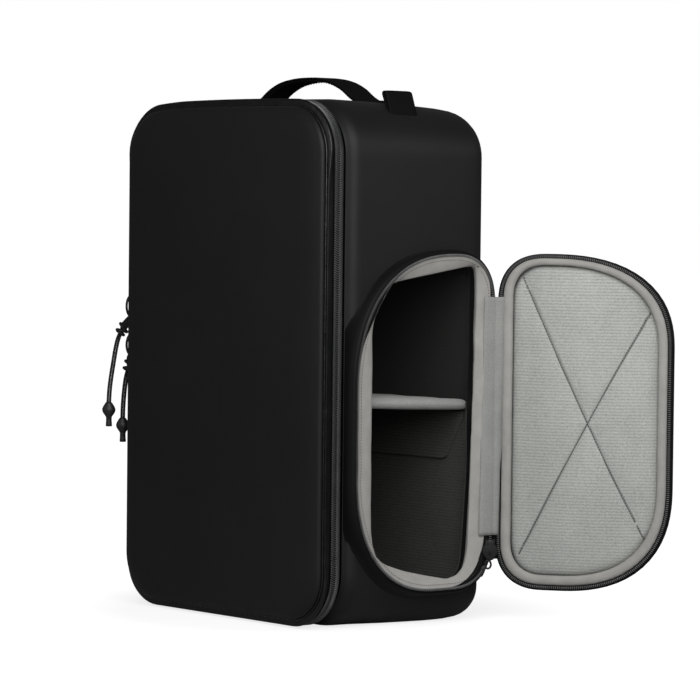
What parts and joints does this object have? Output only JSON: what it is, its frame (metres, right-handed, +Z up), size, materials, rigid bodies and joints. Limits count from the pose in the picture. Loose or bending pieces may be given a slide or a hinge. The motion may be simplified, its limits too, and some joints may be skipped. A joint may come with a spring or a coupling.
{
  "type": "camera backpack",
  "caption": "Box-shaped black camera backpack standing upright, its side door open on a light padded lining and a divider shelf.",
  "frame": {"origin": "middle of the bag's flat base, on the ground", "axes": "+Z up, -Y out of the front face, +X to the side with the open door"},
  "size_m": [0.457, 0.2853, 0.4728],
  "materials": {
    "coated_cloth": "matte coated black cloth with a soft sheen",
    "gloss_trim": "thin glossy black piping",
    "zip_tape": "black zip tape with fine coil teeth",
    "webbing": "woven black webbing",
    "light_binding": "warm light grey cloth",
    "light_lining": "ribbed light grey brushed lining",
    "dark_lining": "ribbed dark grey brushed lining",
    "cord": "black braided cord",
    "dark_metal": "black coated metal",
    "black_plastic": "moulded black plastic",
    "back_mesh": "black padded mesh"
  },
  "bodies": {
    "root": {"body_shell": "coated_cloth", "body_lining": "dark_lining", "front_lid": "coated_cloth", "face_piping": "gloss_trim", "front_zip": "zip_tape", "opening_collar": "coated_cloth", "opening_zip": "zip_tape", "opening_facing": "light_binding", "hinge_strip": "light_lining", "door_shell": "coated_cloth", "door_zip": "zip_tape", "door_binding": "light_binding", "door_panel": "light_lining", "divider_shelf": "light_lining", "divider_flap": "dark_lining", "grab_handle": "webbing", "side_loop": "webbing", "front_slider_upper": "dark_metal", "front_slider_lower": "dark_metal", "pull_ring_upper": "dark_metal", "pull_ring_lower": "dark_metal", "pull_cord_upper": "cord", "pull_cord_lower": "cord", "cord_end_upper": "cord", "cord_end_lower": "cord", "door_slider": "black_plastic", "door_pull": "black_plastic", "back_panel": "back_mesh", "shoulder_strap_left": "back_mesh", "shoulder_strap_right": "back_mesh", "strap_buckle_left": "black_plastic", "strap_buckle_right": "black_plastic", "strap_webbing_left": "webbing", "strap_webbing_right": "webbing"}
  },
  "joints": []
}
